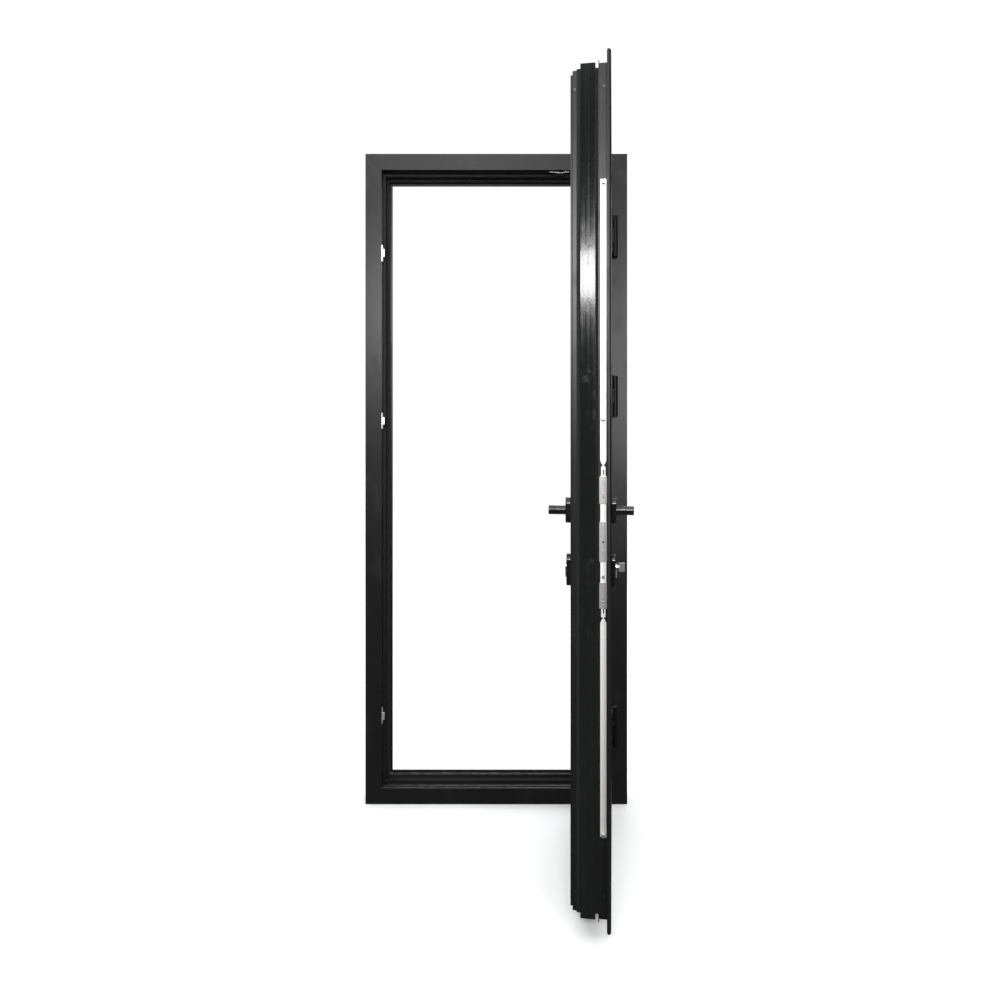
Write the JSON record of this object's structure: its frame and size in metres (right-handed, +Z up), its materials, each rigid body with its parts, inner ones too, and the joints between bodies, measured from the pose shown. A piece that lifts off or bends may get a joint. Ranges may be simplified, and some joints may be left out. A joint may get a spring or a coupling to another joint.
{
  "type": "glass door",
  "caption": "Black thermally broken aluminium glass door in its own four-sided frame, with barrel hinges, lever handles and a rod lock in the leaf's edge.",
  "frame": {"origin": "middle of the sill's underside, on the plane of the frame's room face", "axes": "+X to the hinge jamb as seen from the room, +Y from the room to the outside, +Z up"},
  "size_m": [0.845, 0.8509, 2.1],
  "materials": {
    "paint_black": "satin black powder coat on extruded aluminium",
    "handle_black": "black powder-coated zinc casting",
    "hinge_black": "black powder-coated aluminium",
    "frame_break": "black glass-filled polyamide",
    "edge_break": "black polyamide with a glossy face",
    "gasket": "black EPDM",
    "glass": "clear float glass",
    "spacer": "black warm-edge spacer with sealant",
    "block": "hard plastic glazing block",
    "cleat": "raw die-cast aluminium",
    "zinc_plate": "bright zinc plated",
    "gear_steel": "zinc-plated steel strip",
    "pin_steel": "turned steel",
    "fastener": "zinc-plated steel",
    "cylinder_chrome": "satin chrome plate on brass"
  },
  "bodies": {
    "frame": {"frame_left_room_shell": "paint_black", "frame_right_room_shell": "paint_black", "frame_head_room_shell": "paint_black", "frame_sill_room_shell": "paint_black", "frame_left_outer_shell": "paint_black", "frame_right_outer_shell": "paint_black", "frame_head_outer_shell": "paint_black", "frame_sill_outer_shell": "paint_black", "frame_thermal_breaks": "frame_break", "frame_corner_cleats": "cleat", "frame_centre_gasket": "gasket", "keep_top": "zinc_plate", "keep_middle": "zinc_plate", "keep_bottom": "zinc_plate", "keep_screws": "zinc_plate", "hinge_top_frame_half": "hinge_black", "hinge_middle_frame_half": "hinge_black", "hinge_bottom_frame_half": "hinge_black", "hinge_pins": "fastener", "hinge_nuts": "fastener"},
    "leaf": {"leaf_lock_room_shell": "paint_black", "leaf_hinge_room_shell": "paint_black", "leaf_top_room_shell": "paint_black", "leaf_bottom_room_shell": "paint_black", "leaf_lock_outer_shell": "paint_black", "leaf_hinge_outer_shell": "paint_black", "leaf_top_outer_shell": "paint_black", "leaf_bottom_outer_shell": "paint_black", "leaf_thermal_breaks": "edge_break", "leaf_corner_cleats": "cleat", "leaf_cleat_screws": "fastener", "leaf_overlap_gasket": "gasket", "pane_room_side": "glass", "pane_outside": "glass", "pane_spacer": "spacer", "setting_blocks": "block", "glazing_beads": "paint_black", "glazing_gaskets": "gasket", "hinge_top_leaf_half": "hinge_black", "hinge_middle_leaf_half": "hinge_black", "hinge_bottom_leaf_half": "hinge_black", "hinge_screws": "fastener", "lock_case": "gear_steel", "guide_plate_top": "gear_steel", "guide_plate_middle": "gear_steel", "guide_plate_bottom": "gear_steel", "guide_screws": "fastener", "rosette_room": "handle_black", "rosette_outside": "handle_black", "escutcheon_room": "handle_black", "escutcheon_outside": "handle_black", "lock_cylinder": "cylinder_chrome"},
    "lever_set": {"lever_room": "handle_black", "lever_outside": "handle_black", "lever_spindle": "fastener"},
    "drive_gear": {"drive_bar": "gear_steel", "drive_rods": "gear_steel", "locking_pins": "pin_steel"},
    "thumb_turn": {"thumb_turn": "cylinder_chrome"},
    "key_plug": {"key_plug": "cylinder_chrome"}
  },
  "joints": [
    {"name": "leaf_swing", "type": "hinge", "parent": "frame", "child": "leaf", "pos_m": [0.3798, -0.02, 1.05], "axis": [0, 0, 1], "range_deg": [-81, 29]},
    {"name": "lever_turn", "type": "hinge", "parent": "leaf", "child": "lever_set", "pos_m": [0.24249, -0.70829, 1.003], "axis": [-0.9877, 0.1564, 0], "range_deg": [0, 90]},
    {"name": "rods_slide", "type": "slide", "parent": "leaf", "child": "drive_gear", "axis": [0, 0, 1], "range_m": [0, 0.02005]},
    {"name": "key_plug_turn", "type": "hinge", "parent": "leaf", "child": "key_plug", "pos_m": [0.24249, -0.70829, 0.871], "axis": [-0.9877, 0.1564, 0], "range_deg": [0, 90]},
    {"name": "thumb_turn_turn", "type": "hinge", "parent": "leaf", "child": "thumb_turn", "pos_m": [0.24249, -0.70829, 0.871], "axis": [-0.9877, 0.1564, 0], "range_deg": [0, 90]}
  ],
  "couplings": [
    {"joint": "rods_slide", "follows": "lever_turn", "m_per_rad": 0.01275}
  ]
}
